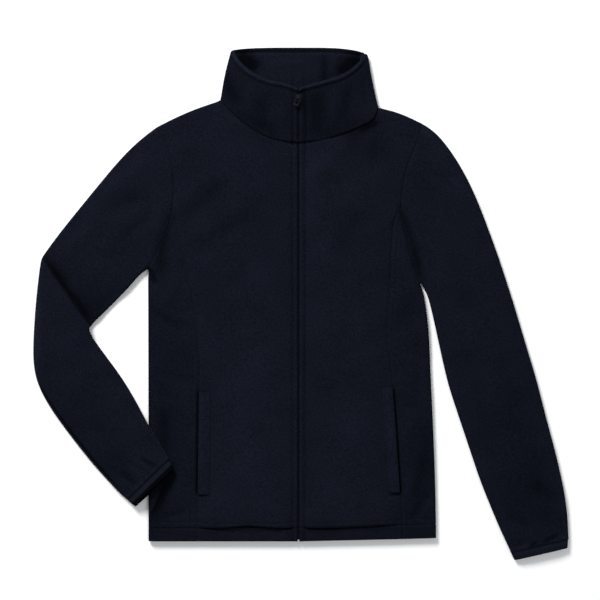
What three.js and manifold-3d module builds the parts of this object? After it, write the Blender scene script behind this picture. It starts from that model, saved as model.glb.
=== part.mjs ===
// A fleece zip jacket laid flat on its back, zipped up, with its right sleeve folded over at the elbow.
// Millimetres. X runs across the wearer's front to the wearer's left, +Y to the collar, +Z up off the surface.
// The origin is on the surface under the zip.
import * as THREE from "three";
import Module from "manifold-3d";

// Cloth and laid heights
const CLOTH = 2.2; // wall of the fleece
const COLLAR_CLOTH = 4.2; // the collar is two layers
const HEM_CLOTH = 4.1; // the hem is turned up, so it is two layers
const LAID = 8.2; // front of the body above the surface
const ROLL = LAID / 2; // radius of a side or shoulder fold
const COLLAR_ROLL = 5; // radius of the collar's side folds
const PUFF = 1.6; // how far a panel rises between its seams
const SEAM = 0.15; // each piece stops this far from its seam
const CLEAR = 0.3; // gap between pieces that lie on each other

// Hem, shoulders and zip
const HEM_DEPTH = 20.5; // hem edge to its stitch line
const HEM_BULGE = 4; // the centre panels overhang the hem stitches
const HEM_Y = -361;
const SHOULDER_BOW = 3; // the shoulder line is slightly convex
const ZIP_HALF_GAP = 1.3; // from the zip's middle to a front edge
const COIL_HALF = 1;
const TAPE_WIDTH = 13;
const TAPE_CLOTH = 0.8;
const COLLAR_LIFT = 12; // the collar's top at the zip stands above its seam

// Counts along and across the pieces
const FLAT_STEPS = 8;
const ROLL_STEPS = 4;
const BACK_STEPS = 10;
const COLLAR_STEPS = 6;

// Short tables have named columns and a row for each section.
const table = (columns, ...rows) =>
  rows.map((row) => Object.fromEntries(columns.map((name, i) => [name, row[i]])));

const RIGHT = {
  outward: -1,
  hemRise: 0,
  edge: table(["y", "x"], [-361, -225], [-200, -225], [-60, -225.3], [46, -225.6]),
  armhole: table(
    ["y", "x"],
    [46, -225.6], [52, -224.4], [68, -214.5], [89, -205], [118, -193], [141, -189],
    [167, -186.5], [190, -187.5], [209, -190], [232, -197], [259.5, -214],
  ),
  princess: table(
    ["y", "x"],
    [-361, -152], [-300, -151], [-136, -149], [-90, -148], [-30, -154],
    [18, -161], [42, -169], [90, -178], [114, -184], [141, -189],
  ),
  lowerRows: [
    -361, -351, -341, -337.5, -331, -316, -291, -262, -220, -178, -137,
    -98, -60, -25, 5, 26, 38, 45.5, 68, 89, 116, 134,
  ],
  armpitRow: 45.5,
  upperRows: table(
    ["armY", "openX", "openY"],
    [141, -1.3, 150], [160, -1.3, 182], [178, -1.3, 212], [193, -1.3, 236.4], [206, -22, 238],
    [218, -49, 246], [230, -79, 264], [240, -98, 280], [249, -111, 291],
  ),
  shoulder: { neckX: -116, neckY: 299 },
  pocket: { low: -291, high: -137, width: 16.5 },
  lean: -0.064,
  collarBow: 1.8,
  collar: table(
    ["neckX", "neckY", "rimX", "rimY", "lift"],
    [-1.3, 236.4, -1.3, 316, 1], [-22, 238, -20, 322.5, 0.97], [-49, 246, -46, 328, 0.84],
    [-79, 264, -71, 340, 0.6], [-98, 280, -86, 354, 0.32], [-109, 291, -94.5, 366, 0.1],
    [-117, 300, -101, 374.5, 0],
  ),
};

const LEFT = {
  outward: 1,
  hemRise: 5,
  edge: table(
    ["y", "x"],
    [-361, 206.5], [-273, 205], [-189, 202], [-129, 199], [-81, 197], [-45, 195.5], [3, 189], [25.5, 183.2],
  ),
  armhole: table(
    ["y", "x"],
    [25.5, 183], [32, 181.8], [51, 174], [80, 166], [114, 158], [137, 153],
    [152, 153.5], [178.5, 157.5], [199.5, 162], [220, 171], [245, 180], [265, 185],
  ),
  princess: table(
    ["y", "x"],
    [-361, 156], [-286, 152], [-129, 141], [-75, 134], [-30, 133],
    [6, 136], [42, 137], [90, 139.5], [117, 142], [139, 152],
  ),
  lowerRows: [
    -361, -351, -341, -337.5, -331, -316, -289, -260, -217, -172, -130,
    -94, -59, -28, -4, 9, 18, 25, 51, 78, 108, 133,
  ],
  armpitRow: 25,
  upperRows: table(
    ["armY", "openX", "openY"],
    [139, 1.3, 150], [158, 1.3, 182], [176, 1.3, 212], [193, 1.3, 236.4], [208, 35, 240],
    [222, 68, 250], [235, 90, 259], [246, 108, 268], [256, 117, 276],
  ),
  shoulder: { neckX: 118, neckY: 288.5 },
  pocket: { low: -289, high: -130, width: 15.5 },
  lean: 0.004,
  collarBow: -0.8,
  collar: table(
    ["neckX", "neckY", "rimX", "rimY", "lift"],
    [1.3, 236.4, 1.3, 316.5, 1], [35, 240, 33, 325, 0.94], [68, 250, 62, 334, 0.74],
    [90, 259, 80, 345, 0.5], [108, 268, 92, 357, 0.26], [115, 277, 98, 364, 0.1],
    [119.5, 289.8, 104, 369.5, 0],
  ),
};

// The sleeves' cross-sections, from the armhole to the cuff: the inner and outer edge of each, how much it follows
// the armhole's curve, and how far the elbow's pleat raises its inner side.
const SLEEVE_COLUMNS = ["inX", "inY", "outX", "outY", "bow", "pleat"];
RIGHT.sleeve = table(
  SLEEVE_COLUMNS,
  [-227.3, 49, -213.3, 258.2, 1, 0], [-237, 39, -236, 241.5, 0.8, 0], [-250, 23, -262, 217, 0.5, 0],
  [-266, 6, -290, 184, 0.24, 0], [-284, -12, -326, 140, 0.08, 0], [-300, -28, -360, 98, 0, 0],
  [-312.5, -38.5, -383.2, 66, 0, 0], [-314.5, -41.8, -386, 61, 0, 6], [-313, -47, -393, 8, 0, 6],
  [-311, -51, -398, -62, 0, 5.8], [-308.5, -55, -397.5, -107, 0, 5.2], [-303, -63, -385, -141, 0, 4.2],
  [-290, -81, -366, -171, 0, 3], [-272, -105, -344, -201, 0, 1.8], [-256, -129, -322, -229, 0, 0.8],
  [-240, -156, -303, -252, 0, 0.2], [-221, -192, -283, -274, 0, 0], [-204, -218, -267.5, -290, 0, 0],
  [-193.5, -238, -256.5, -299.3, 0, 0],
);
RIGHT.cuff = table(["inX", "inY", "outX", "outY"], [-193, -238.8, -255.5, -300], [-187, -251.8, -247, -307]);
LEFT.sleeve = table(
  SLEEVE_COLUMNS,
  [184.4, 26, 185.3, 265.2, 1, 0], [193, 8, 206, 252, 0.84, 0], [198.5, -14, 232, 219, 0.6, 0],
  [204, -38, 258, 174, 0.36, 0], [209, -62, 280, 119, 0.16, 0], [216, -94, 301, 61, 0.05, 0],
  [224, -129, 320, 3, 0, 0], [236, -165, 338, -58, 0, 0], [248, -201, 355, -113, 0, 0],
  [260, -237, 369, -168, 0, 0], [272, -273, 383, -218, 0, 0], [286, -307, 394, -263, 0, 0],
  [300, -341, 402, -306, 0, 0], [312.5, -367.5, 404.6, -340, 0, 0], [317.5, -378.3, 404.8, -358, 0, 0],
);
LEFT.cuff = table(["inX", "inY", "outX", "outY"], [318, -379.3, 404.2, -359], [323, -389.5, 403, -371]);

// Soft folds in the cloth: each runs between two places, and is so wide and so high (or deep).
const BODY_FOLDS = table(
  ["fromX", "fromY", "toX", "toY", "width", "height"],
  [-180, 120, -120, 60, 16, 1.6], [150, 120, 96, 40, 18, 1.8], [120, 10, 60, -40, 20, 1.2],
  [-60, -120, -100, -300, 26, 1.4], [90, -150, 60, -310, 26, 1.3], [40, 190, 60, 60, 22, 1.2],
  [-110, 200, -60, 120, 20, 1.2], [-200, -60, -190, -230, 14, 1.2], [176, -70, 170, -250, 14, 1.2],
);
const SLEEVE_FOLDS = table(
  ["fromX", "fromY", "toX", "toY", "width", "height"],
  [-205, 130, -275, 90, 16, 1.8], [-235, 90, -330, 40, 15, 1.6], [-350, -60, -300, -150, 16, 1.6],
  [-280, -190, -235, -260, 12, 1.4], [176, 110, 230, 30, 16, 1.8], [215, 40, 262, -70, 16, 1.6],
  [300, -60, 320, -220, 16, 1.4], [330, -250, 370, -335, 12, 1.6],
);

const smooth = (from, to, value) => THREE.MathUtils.smoothstep(value, from, to);
const mix = THREE.MathUtils.lerp;

// A smooth curve x(y) through a table of points with rising y.
function curveX(rows, y) {
  const last = rows.length - 1;
  let i = rows.findIndex((row) => row.y >= y);
  if (i === -1) i = last;
  i = Math.max(i, 1);
  const slope = (k) => {
    const a = rows[Math.max(k - 1, 0)];
    const b = rows[Math.min(k + 1, last)];
    return (b.x - a.x) / (b.y - a.y);
  };
  const [a, b] = [rows[i - 1], rows[i]];
  const span = b.y - a.y;
  const t = (y - a.y) / span;
  const t2 = t * t;
  const t3 = t2 * t;
  return (2 * t3 - 3 * t2 + 1) * a.x + (t3 - 2 * t2 + t) * span * slope(i - 1)
    + (3 * t2 - 2 * t3) * b.x + (t3 - t2) * span * slope(i);
}

// The hem edge rises a little towards the wearer's left.
function settled(x, y) {
  const rise = x > 0 ? LEFT.hemRise * Math.min(x / 206, 1) ** 1.4 : 0;
  return new THREE.Vector2(x, y + rise * (1 - smooth(HEM_Y, -230, y)));
}

// Height added by the soft folds at a place.
function foldHeight(folds, x, y) {
  return folds.reduce((sum, fold) => {
    const along = new THREE.Vector2(fold.toX - fold.fromX, fold.toY - fold.fromY);
    const length = along.length();
    along.divideScalar(length);
    const t = (x - fold.fromX) * along.x + (y - fold.fromY) * along.y;
    const off = (x - fold.fromX) * along.y - (y - fold.fromY) * along.x;
    const ends = smooth(-0.3 * length, 0.25 * length, t) * (1 - smooth(0.75 * length, 1.3 * length, t));
    return sum + fold.height * ends * Math.exp(-((off / fold.width) ** 2));
  }, 0);
}

// A panel lies low at its seams and rises between them. f runs from 0 at one seam to 1 at the other.
const between = (f) => smooth(0, 0.22, f) * (1 - smooth(0.78, 1, f));
const panelTop = (f, x, y, ease) => LAID + ease * between(f) * (PUFF + foldHeight(BODY_FOLDS, x, y));

// The centre panels bulge out just above the hem stitches.
function hemBulge(f, y) {
  const stitches = HEM_Y + HEM_DEPTH;
  const across = smooth(0.02, 0.16, f) * (1 - smooth(0.84, 1, f));
  return HEM_BULGE * across * smooth(stitches, stitches + 3, y) * (1 - smooth(stitches + 8, stitches + 62, y));
}

const centreTop = (f, x, y, ease) => panelTop(f, x, y, ease) + hemBulge(f, y);
const inHem = (y) => y < HEM_Y + HEM_DEPTH + 1;
const frontWall = (y) => (inHem(y) ? HEM_CLOTH : CLOTH);
const hemTop = (y) => (inHem(y) ? HEM_CLOTH + CLEAR + HEM_CLOTH : LAID);

// Closes a wall between an outer and an inner grid of points, open at its edges or joined round into a tube.
function wall(outer, inner, joined = false) {
  const rows = outer.length;
  const columns = outer[0].length;
  const points = [...outer.flat(), ...inner.flat()];
  const faces = [];
  const under = rows * columns;
  const at = (i, j) => i * columns + (j % columns);
  const quad = (a, b, c, d) => faces.push(a, b, c, a, c, d);
  const spans = joined ? columns : columns - 1;
  for (let i = 0; i < rows - 1; i += 1) {
    for (let j = 0; j < spans; j += 1) {
      const [a, b, c, d] = [at(i, j), at(i, j + 1), at(i + 1, j + 1), at(i + 1, j)];
      quad(a, b, c, d);
      quad(under + d, under + c, under + b, under + a);
    }
  }
  for (let j = 0; j < spans; j += 1) {
    const [a, b] = [at(0, j), at(0, j + 1)];
    const [c, d] = [at(rows - 1, j + 1), at(rows - 1, j)];
    quad(b, a, under + a, under + b);
    quad(d, c, under + c, under + d);
  }
  if (!joined) {
    for (let i = 0; i < rows - 1; i += 1) {
      const [a, d] = [at(i, 0), at(i + 1, 0)];
      const [b, c] = [at(i, columns - 1), at(i + 1, columns - 1)];
      quad(a, d, under + d, under + a);
      quad(c, b, under + b, under + c);
    }
  }
  return solid(points, faces);
}

// A closed geometry from points and faces, turned to face outwards.
function solid(points, faces) {
  const six = (a, b, c) => points[a].dot(new THREE.Vector3().crossVectors(points[b], points[c]));
  let volume = 0;
  for (let i = 0; i < faces.length; i += 3) volume += six(faces[i], faces[i + 1], faces[i + 2]);
  if (volume < 0) faces.reverse();
  const geometry = new THREE.BufferGeometry().setFromPoints(points);
  geometry.setIndex(faces);
  geometry.computeVertexNormals();
  return geometry;
}

const lift = (flat, z) => new THREE.Vector3(flat.x, flat.y, z);

// Points of one row of a front panel, from its inner seam to its outer one. A rolled row goes on round the side fold.
function frontRow({ from, to, ease, rolled, topAt, wallAt, rollSteps }) {
  const across = to.clone().sub(from);
  const length = across.length();
  across.divideScalar(length);
  const flatEnd = rollSteps ? Math.max(length - ROLL, 0.6 * length) : length - SEAM;
  const outer = [];
  const inner = [];
  for (let k = 0; k <= FLAT_STEPS; k += 1) {
    const t = mix(SEAM, flatEnd, k / FLAT_STEPS);
    const place = from.clone().addScaledVector(across, t);
    const top = topAt(k / FLAT_STEPS, place.x, place.y, ease);
    outer.push(lift(place, top));
    inner.push(lift(place, top - wallAt));
  }
  const edgeTop = outer[FLAT_STEPS].z;
  for (let k = 1; k <= rollSteps; k += 1) {
    const angle = (Math.PI * k) / rollSteps;
    const start = from.clone().addScaledVector(across, flatEnd);
    if (rolled) {
      const half = edgeTop / 2;
      const round = (shrink) => lift(
        start.clone().addScaledVector(across, (ROLL - shrink) * Math.sin(angle)),
        half + (half - shrink) * Math.cos(angle),
      );
      outer.push(round(0));
      inner.push(round(wallAt));
    } else {
      const place = start.addScaledVector(across, ((length - SEAM - flatEnd) * k) / rollSteps);
      outer.push(lift(place, edgeTop));
      inner.push(lift(place, edgeTop - wallAt));
    }
  }
  return { outer, inner };
}

const armholeEnds = (side) => ({ low: side.armhole[0].y, high: side.armhole[side.armhole.length - 1].y });
const armholeAt = (side, y) => new THREE.Vector2(curveX(side.armhole, y), y);
const edgeAt = (side, y) => (y < side.armpitRow ? settled(curveX(side.edge, y), y) : armholeAt(side, y));
const princessAt = (side, y) => settled(curveX(side.princess, y), y);
const openingAt = (side, y) => settled(side.outward * (ZIP_HALF_GAP - SEAM), y);

function makeFrontSide(side) {
  const rows = side.lowerRows.map((y) => frontRow({
    from: princessAt(side, y),
    to: edgeAt(side, y),
    ease: smooth(139, 100, y),
    rolled: y < side.armpitRow,
    topAt: (f, x, py, ease) => (inHem(y) ? hemTop(y) : panelTop(f, x, py, ease)),
    wallAt: frontWall(y),
    rollSteps: ROLL_STEPS,
  }));
  return wall(rows.map((row) => row.outer), rows.map((row) => row.inner));
}

// Which way a shoulder fold turns over: along the chord of its armhole.
const shoulderWay = (side) => new THREE.Vector2(side.lean, 1).normalize();

// The shoulder line, from the armhole to the neck, drawn in by some distance.
function shoulderPoint(side, f, drawnIn) {
  const { neckX, neckY } = side.shoulder;
  const way = shoulderWay(side);
  const arm = armholeAt(side, armholeEnds(side).high - ROLL).addScaledVector(way, ROLL);
  const line = arm.lerp(new THREE.Vector2(neckX, neckY), f);
  line.y += SHOULDER_BOW * Math.sin(Math.PI * f);
  return line.addScaledVector(way, -drawnIn);
}

function makeFrontCentre(side) {
  const lower = side.lowerRows.map((y) => frontRow({
    from: openingAt(side, y),
    to: princessAt(side, y),
    ease: 1,
    topAt: (f, x, py, ease) => (inHem(y) ? hemTop(y) : centreTop(f, x, py, ease)),
    wallAt: frontWall(y),
    rollSteps: 0,
  }));
  const upper = side.upperRows.map((row) => frontRow({
    from: new THREE.Vector2(row.openX - side.outward * SEAM, row.openY - (row.openX ** 2 > 4 ? 2 * SEAM : 0)),
    to: armholeAt(side, row.armY),
    ease: 1 - smooth(190, 250, row.armY),
    topAt: panelTop,
    wallAt: CLOTH,
    rollSteps: 0,
  }));
  const outer = [...lower, ...upper].map((row) => row.outer);
  const inner = [...lower, ...upper].map((row) => row.inner);
  const way = shoulderWay(side);
  for (let k = 0; k <= ROLL_STEPS; k += 1) {
    const angle = (Math.PI * k) / ROLL_STEPS;
    const turned = (shrink) => Array.from({ length: FLAT_STEPS + 1 }, (_, j) => {
      const f = mix(1, 0, j / FLAT_STEPS);
      const inset = mix(SEAM, -SEAM, f) * side.outward;
      const start = shoulderPoint(side, f, ROLL);
      start.x -= inset;
      start.addScaledVector(way, (ROLL - shrink) * Math.sin(angle));
      return lift(start, ROLL + (ROLL - shrink) * Math.cos(angle));
    });
    outer.push(turned(0));
    inner.push(turned(CLOTH));
  }
  return wall(outer, inner);
}

// The back lies on the surface. It stops short of the side and shoulder folds that come round to it.
function makeBack() {
  const drawnIn = ROLL + CLEAR;
  const sidePoint = (side, y) => {
    const folded = y < side.armpitRow;
    const point = edgeAt(side, y);
    point.x -= side.outward * (folded ? drawnIn : SEAM);
    return point;
  };
  const ends = RIGHT.lowerRows.map((y, i) => ({
    from: sidePoint(RIGHT, y),
    to: sidePoint(LEFT, LEFT.lowerRows[i]),
    thick: inHem(y) ? HEM_CLOTH : CLOTH,
  }));
  RIGHT.upperRows.forEach((row, i) => ends.push({
    from: sidePoint(RIGHT, row.armY),
    to: sidePoint(LEFT, LEFT.upperRows[i].armY),
    thick: CLOTH,
  }));
  [0.015, 0.15, 0.3, 0.5, 0.72, 1].forEach((f) => ends.push({
    from: shoulderPoint(RIGHT, f, drawnIn),
    to: shoulderPoint(LEFT, f, drawnIn),
    thick: CLOTH,
  }));
  const grid = (height) => ends.map(({ from, to, thick }) => Array.from({ length: BACK_STEPS + 1 }, (_, j) => {
    const place = from.clone().lerp(to, j / BACK_STEPS);
    return lift(place, height * thick);
  }));
  return wall(grid(1), grid(0));
}

// The body's edge holds up whatever lies across it.
function support(x, y) {
  if (x > 0 || y > -100) return 0;
  return (LAID + 3 * CLEAR) * smooth(-258, -229, x);
}

// The fractions of the armhole, from the armpit to the shoulder, at the rows of the panels that meet it.
function armholeStations(side) {
  const { low, high } = armholeEnds(side);
  const rows = [...side.lowerRows.filter((y) => y > side.armpitRow), ...side.upperRows.map((row) => row.armY)];
  const inside = rows.filter((y) => y > low + 2 * ROLL && y < high - 2 * ROLL);
  return [low + ROLL, ...inside, high - ROLL].map((y) => ({
    f: (y - low - ROLL) / (high - low - 2 * ROLL),
    point: armholeAt(side, y),
  }));
}

// One ring of a sleeve: over the top from the inner edge to the outer one, round the fold and back underneath.
function sleeveRing(side, section, stations) {
  const inEdge = new THREE.Vector2(section.inX, section.inY);
  const outEdge = new THREE.Vector2(section.outX, section.outY);
  const across = outEdge.clone().sub(inEdge).normalize();
  const armStart = stations[0].point;
  const armEnd = stations[stations.length - 1].point;
  const atArmhole = section.bow === 1;
  const inStart = atArmhole ? armStart : inEdge.clone().addScaledVector(across, ROLL);
  const outStart = atArmhole ? armEnd : outEdge.clone().addScaledVector(across, -ROLL);
  const top = [];
  const bottom = [];
  const topInner = [];
  const bottomInner = [];
  stations.forEach(({ f, point }) => {
    const chord = armStart.clone().lerp(armEnd, f);
    const bow = point.clone().sub(chord).multiplyScalar(section.bow);
    const place = inStart.clone().lerp(outStart, f).add(bow);
    if (atArmhole) place.x += side.outward * SEAM;
    const rest = support(place.x, place.y);
    const loose = 1 - section.bow;
    const puff = loose * between(f) * (PUFF + foldHeight(SLEEVE_FOLDS, place.x, place.y));
    const pleat = section.pleat * (1 - f) ** 0.7;
    top.push(lift(place, rest + LAID + puff + pleat));
    topInner.push(lift(place, rest + LAID - CLOTH + puff));
    bottom.push(lift(place, rest));
    bottomInner.push(lift(place, rest + CLOTH));
  });
  const fold = (upper, lower, way, reach) => {
    const middle = (upper.z + lower.z) / 2;
    const half = (upper.z - lower.z) / 2;
    return Array.from({ length: ROLL_STEPS - 1 }, (_, k) => {
      const angle = (Math.PI * (k + 1)) / ROLL_STEPS;
      const flat = new THREE.Vector2(upper.x, upper.y).addScaledVector(way, reach * Math.sin(angle));
      return lift(flat, middle + half * Math.cos(angle));
    });
  };
  const onward = atArmhole ? shoulderWay(side) : across;
  const back = onward.clone().negate();
  const end = stations.length - 1;
  const ring = (upper, lower, reach) => [
    ...upper,
    ...fold(upper[end], lower[end], onward, reach),
    ...[...lower].reverse(),
    ...fold(upper[0], lower[0], back, reach).reverse(),
  ];
  return { outer: ring(top, bottom, ROLL), inner: ring(topInner, bottomInner, ROLL - CLOTH) };
}

function makeSleeve(side) {
  const stations = armholeStations(side);
  const rings = side.sleeve.map((section) => sleeveRing(side, section, stations));
  return wall(rings.map((ring) => ring.outer), rings.map((ring) => ring.inner), true);
}

// A cuff band is a short ring of narrow binding, a little lower than the sleeve it gathers.
function makeCuff(side) {
  const fractions = [0, 0.2, 0.4, 0.6, 0.8, 1];
  const stations = fractions.map((f) => ({ f, point: new THREE.Vector2() }));
  const [start, end] = side.cuff;
  const rings = [0, 0.5, 1].map((t) => {
    const section = { bow: 0, pleat: 0 };
    ["inX", "inY", "outX", "outY"].forEach((name) => {
      section[name] = mix(start[name], end[name], t);
    });
    return sleeveRing(side, section, stations);
  });
  return wall(rings.map((ring) => ring.outer), rings.map((ring) => ring.inner), true);
}

const COLLAR_BACK_RIM = 378;
const NECK_DIP = 4.6; // the neck seam dips on each side of the collar's side fold
const collarRise = (v) => COLLAR_LIFT * v;

// The back neck seam runs straight between the two ends of the shoulders.
function backNeckY(x) {
  const [a, b] = [RIGHT, LEFT].map((side) => shoulderPoint(side, 1, ROLL + CLEAR));
  return mix(a.y, b.y, (x - a.x) / (b.x - a.x));
}

// The collar's cross-section half at a height v (0 at its seam, 1 at its rim), from the zip round to mid back.
function collarHalf(side, v, shrink) {
  const bow = side.outward * side.collarBow * Math.sin(Math.PI * v);
  const half = side.collar.map((row) => ({
    x: mix(row.neckX, row.rimX, v) + bow * (row.neckX / side.shoulder.neckX) ** 2,
    y: mix(row.neckY, row.rimY, v),
    z: 2 * COLLAR_ROLL + collarRise(v) * row.lift,
  }));
  const edge = half.pop();
  const edgeRow = side.collar[side.collar.length - 1];
  const points = half.map(({ x, y, z }) => new THREE.Vector3(x, y + (1 - v) * CLEAR, z - shrink));
  const hub = new THREE.Vector2(edge.x - side.outward * COLLAR_ROLL, edge.y);
  for (let k = 0; k <= ROLL_STEPS; k += 1) {
    const angle = (Math.PI * k) / ROLL_STEPS;
    const reach = COLLAR_ROLL - shrink;
    const dip = NECK_DIP * (1 - v) * (1 - Math.sin(angle));
    const place = new THREE.Vector2(hub.x + side.outward * reach * Math.sin(angle), hub.y - dip);
    points.push(lift(place, COLLAR_ROLL + reach * Math.cos(angle)));
  }
  [0.9, 0.6, 0.3].forEach((f) => {
    const x = hub.x * f;
    const rim = mix(COLLAR_BACK_RIM, edgeRow.rimY, f ** 6);
    points.push(new THREE.Vector3(x, mix(backNeckY(x) + 2 * CLEAR, rim, v), shrink));
  });
  return points;
}

function makeCollar() {
  const grid = (shrink) => Array.from({ length: COLLAR_STEPS + 1 }, (_, j) => {
    const v = j / COLLAR_STEPS;
    const right = collarHalf(RIGHT, v, shrink);
    const left = collarHalf(LEFT, v, shrink);
    const middle = new THREE.Vector3(0, mix(backNeckY(0) + 2 * CLEAR, COLLAR_BACK_RIM, v), shrink);
    return [...right, middle, ...left.reverse()];
  });
  return wall(grid(0), grid(COLLAR_CLOTH));
}

// A strip that lies on, or under, the front: its places come from the panel's own surface.
function strip(places, acrossSteps, pointAt, thick) {
  const grid = (drop) => places.map((y) => Array.from({ length: acrossSteps + 1 }, (_, j) => {
    const point = pointAt(y, j / acrossSteps);
    point.z -= drop;
    return point;
  }));
  return wall(grid(0), grid(thick));
}

const WELT_CLOTH = 1.4;
function makeWelt(side) {
  const { low, high, width: reach } = side.pocket;
  const places = side.lowerRows.filter((y) => y > low && y < high);
  return strip([low, ...places, high], 3, (y, f) => {
    const seam = princessAt(side, y);
    const open = openingAt(side, y);
    const inset = 0.6 + reach * f;
    const width = Math.abs(seam.x - open.x);
    const x = seam.x - side.outward * inset;
    const column = (1 - inset / width) * FLAT_STEPS;
    const topOf = (k) => centreTop(k / FLAT_STEPS, mix(open.x, seam.x, k / FLAT_STEPS), y, 1);
    const top = mix(topOf(Math.floor(column)), topOf(Math.floor(column) + 1), column % 1);
    const crown = 0.5 * Math.sin(Math.PI * f);
    return new THREE.Vector3(x, seam.y, top + 2 * CLEAR + WELT_CLOTH + crown);
  }, WELT_CLOTH);
}

const COLLAR_SEAM_Y = 236.4;
const COLLAR_RIM_Y = 316;
const TAPE_LOW = HEM_Y + HEM_DEPTH + 3;

// Height of the front along the zip.
function zipTop(y) {
  if (y < COLLAR_SEAM_Y) return LAID;
  return 2 * COLLAR_ROLL + collarRise((y - COLLAR_SEAM_Y) / (COLLAR_RIM_Y - COLLAR_SEAM_Y));
}
const COLLAR_FALL = 0.07; // how far the collar falls for each millimetre from the zip
const ZIP_PLACES = [-337, -262, -178, -98, -25, 68, 150, 212, 232, 240, 255, 270, 285, 298, 312];

function makeTape(side) {
  return strip(ZIP_PLACES, 1, (y, f) => {
    const reach = ZIP_HALF_GAP + 0.1 + TAPE_WIDTH * f;
    const onCollar = smooth(230, 240, y);
    const cover = mix(LAID - CLOTH, zipTop(y) - COLLAR_CLOTH - COLLAR_FALL * reach, onCollar);
    return new THREE.Vector3(side.outward * reach, y, cover - CLEAR);
  }, TAPE_CLOTH);
}

const SLIDER_Y = 300;
function makeCoil() {
  const places = [HEM_Y + 1, -342, ...ZIP_PLACES.filter((y) => y < SLIDER_Y), SLIDER_Y + 4];
  return strip(places, 1, (y, f) => new THREE.Vector3(mix(-COIL_HALF, COIL_HALF, f), y, zipTop(y) - 1), 2.2);
}

// The slider and its pull. Their group stands on the collar at the zip, tilted with it.
const SLIDER = { width: 8.4, length: 11, thick: 2.6, bridgeWidth: 1.6, bridgeReach: 2.6, bridgeThick: 1.1 };
const PULL = { width: 8.2, length: 12.5, thick: 1.3, holeWidth: 5.2, holeLength: 7.4, bar: 1.4, swing: 26 };
const BAR_HEIGHT = SLIDER.thick + CLEAR + PULL.bar / 2;

const wasm = await Module();
wasm.setup();

// A geometry as a solid that can be joined, and back.
function asSolid(geometry) {
  const flat = geometry.index ? geometry.toNonIndexed() : geometry;
  const index = new Map();
  const points = [];
  const faces = [];
  const position = flat.getAttribute("position");
  for (let i = 0; i < position.count; i += 1) {
    const place = [position.getX(i), position.getY(i), position.getZ(i)];
    const key = place.map((value) => value.toFixed(4)).join();
    if (!index.has(key)) {
      index.set(key, points.length / 3);
      points.push(...place);
    }
    faces.push(index.get(key));
  }
  return new wasm.Manifold(new wasm.Mesh({
    numProp: 3,
    vertProperties: new Float32Array(points),
    triVerts: new Uint32Array(faces),
  }));
}

function asGeometry(made) {
  const mesh = made.getMesh();
  const geometry = new THREE.BufferGeometry();
  geometry.setAttribute("position", new THREE.BufferAttribute(mesh.vertProperties, 3));
  geometry.setIndex(new THREE.BufferAttribute(mesh.triVerts, 1));
  geometry.computeVertexNormals();
  return geometry;
}

function roundedOutline(width, length, radius, Kind) {
  const outline = new Kind();
  const [x, y] = [width / 2, length / 2];
  outline.absarc(x - radius, y - radius, radius, 0, Math.PI / 2);
  outline.absarc(-x + radius, y - radius, radius, Math.PI / 2, Math.PI);
  outline.absarc(-x + radius, -y + radius, radius, Math.PI, 1.5 * Math.PI);
  outline.absarc(x - radius, -y + radius, radius, 1.5 * Math.PI, 2 * Math.PI);
  outline.closePath();
  return outline;
}

function makeSlider() {
  const body = new THREE.ExtrudeGeometry(roundedOutline(SLIDER.width, SLIDER.length, 2.4, THREE.Shape), {
    depth: SLIDER.thick - 0.8,
    bevelSize: 0.4,
    bevelThickness: 0.4,
    bevelOffset: -0.4,
    bevelSegments: 1,
    curveSegments: 4,
  });
  body.translate(0, 0, 0.4);
  const reach = SLIDER.bridgeReach;
  const inside = BAR_HEIGHT + PULL.bar / 2 + CLEAR;
  const profile = new THREE.Shape();
  const high = inside + SLIDER.bridgeThick;
  profile.moveTo(-reach - 0.6, SLIDER.thick - 0.3);
  profile.lineTo(-reach - 0.6, high - 1);
  profile.quadraticCurveTo(-reach, high, 0, high);
  profile.quadraticCurveTo(reach, high, reach + 0.6, high - 1);
  profile.lineTo(reach + 0.6, SLIDER.thick - 0.3);
  profile.lineTo(reach - 0.6, SLIDER.thick - 0.3);
  profile.lineTo(reach - 0.6, inside);
  profile.lineTo(-reach + 0.6, inside);
  profile.lineTo(-reach + 0.6, SLIDER.thick - 0.3);
  profile.closePath();
  const bridge = new THREE.ExtrudeGeometry(profile, {
    depth: SLIDER.bridgeWidth,
    bevelEnabled: false,
    curveSegments: 4,
  });
  bridge.translate(0, 0, -SLIDER.bridgeWidth / 2);
  bridge.applyMatrix4(new THREE.Matrix4().makeBasis(
    new THREE.Vector3(0, 1, 0),
    new THREE.Vector3(0, 0, 1),
    new THREE.Vector3(1, 0, 0),
  ));
  return asGeometry(asSolid(body).add(asSolid(bridge)));
}

// The pull is a rounded tab with a long hole. Its end bar lies under the slider's bridge, on the turning axis.
function makePull() {
  const outline = roundedOutline(PULL.width, PULL.length, 2.6, THREE.Shape);
  const hole = roundedOutline(PULL.holeWidth, PULL.holeLength, 1.6, THREE.Path);
  const holeDrop = PULL.length / 2 - PULL.bar - PULL.holeLength / 2;
  hole.curves.forEach((curve) => {
    if (curve.isEllipseCurve) curve.aY += holeDrop;
    else {
      curve.v1.y += holeDrop;
      curve.v2.y += holeDrop;
    }
  });
  outline.holes.push(hole);
  const tab = new THREE.ExtrudeGeometry(outline, { depth: PULL.thick, bevelEnabled: false, curveSegments: 5 });
  tab.translate(0, PULL.bar / 2 - PULL.length / 2, -PULL.thick / 2);
  return asGeometry(asSolid(tab));
}

// Finishes
const COLOURS = { fleece: 0x151820, binding: 0x10131a, tape: 0x12141c, coil: 0x15171e, metal: 0x24262c };
function finish(kind) {
  const isMetal = kind === "metal";
  return new THREE.MeshStandardMaterial({
    color: COLOURS[kind],
    roughness: isMetal ? 0.4 : 0.95,
    metalness: isMetal ? 0.7 : 0,
  });
}

const group = new THREE.Group();
function add(name, geometry, kind, parent = group) {
  const mesh = new THREE.Mesh(geometry, finish(kind));
  mesh.name = name;
  parent.add(mesh);
}

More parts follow.
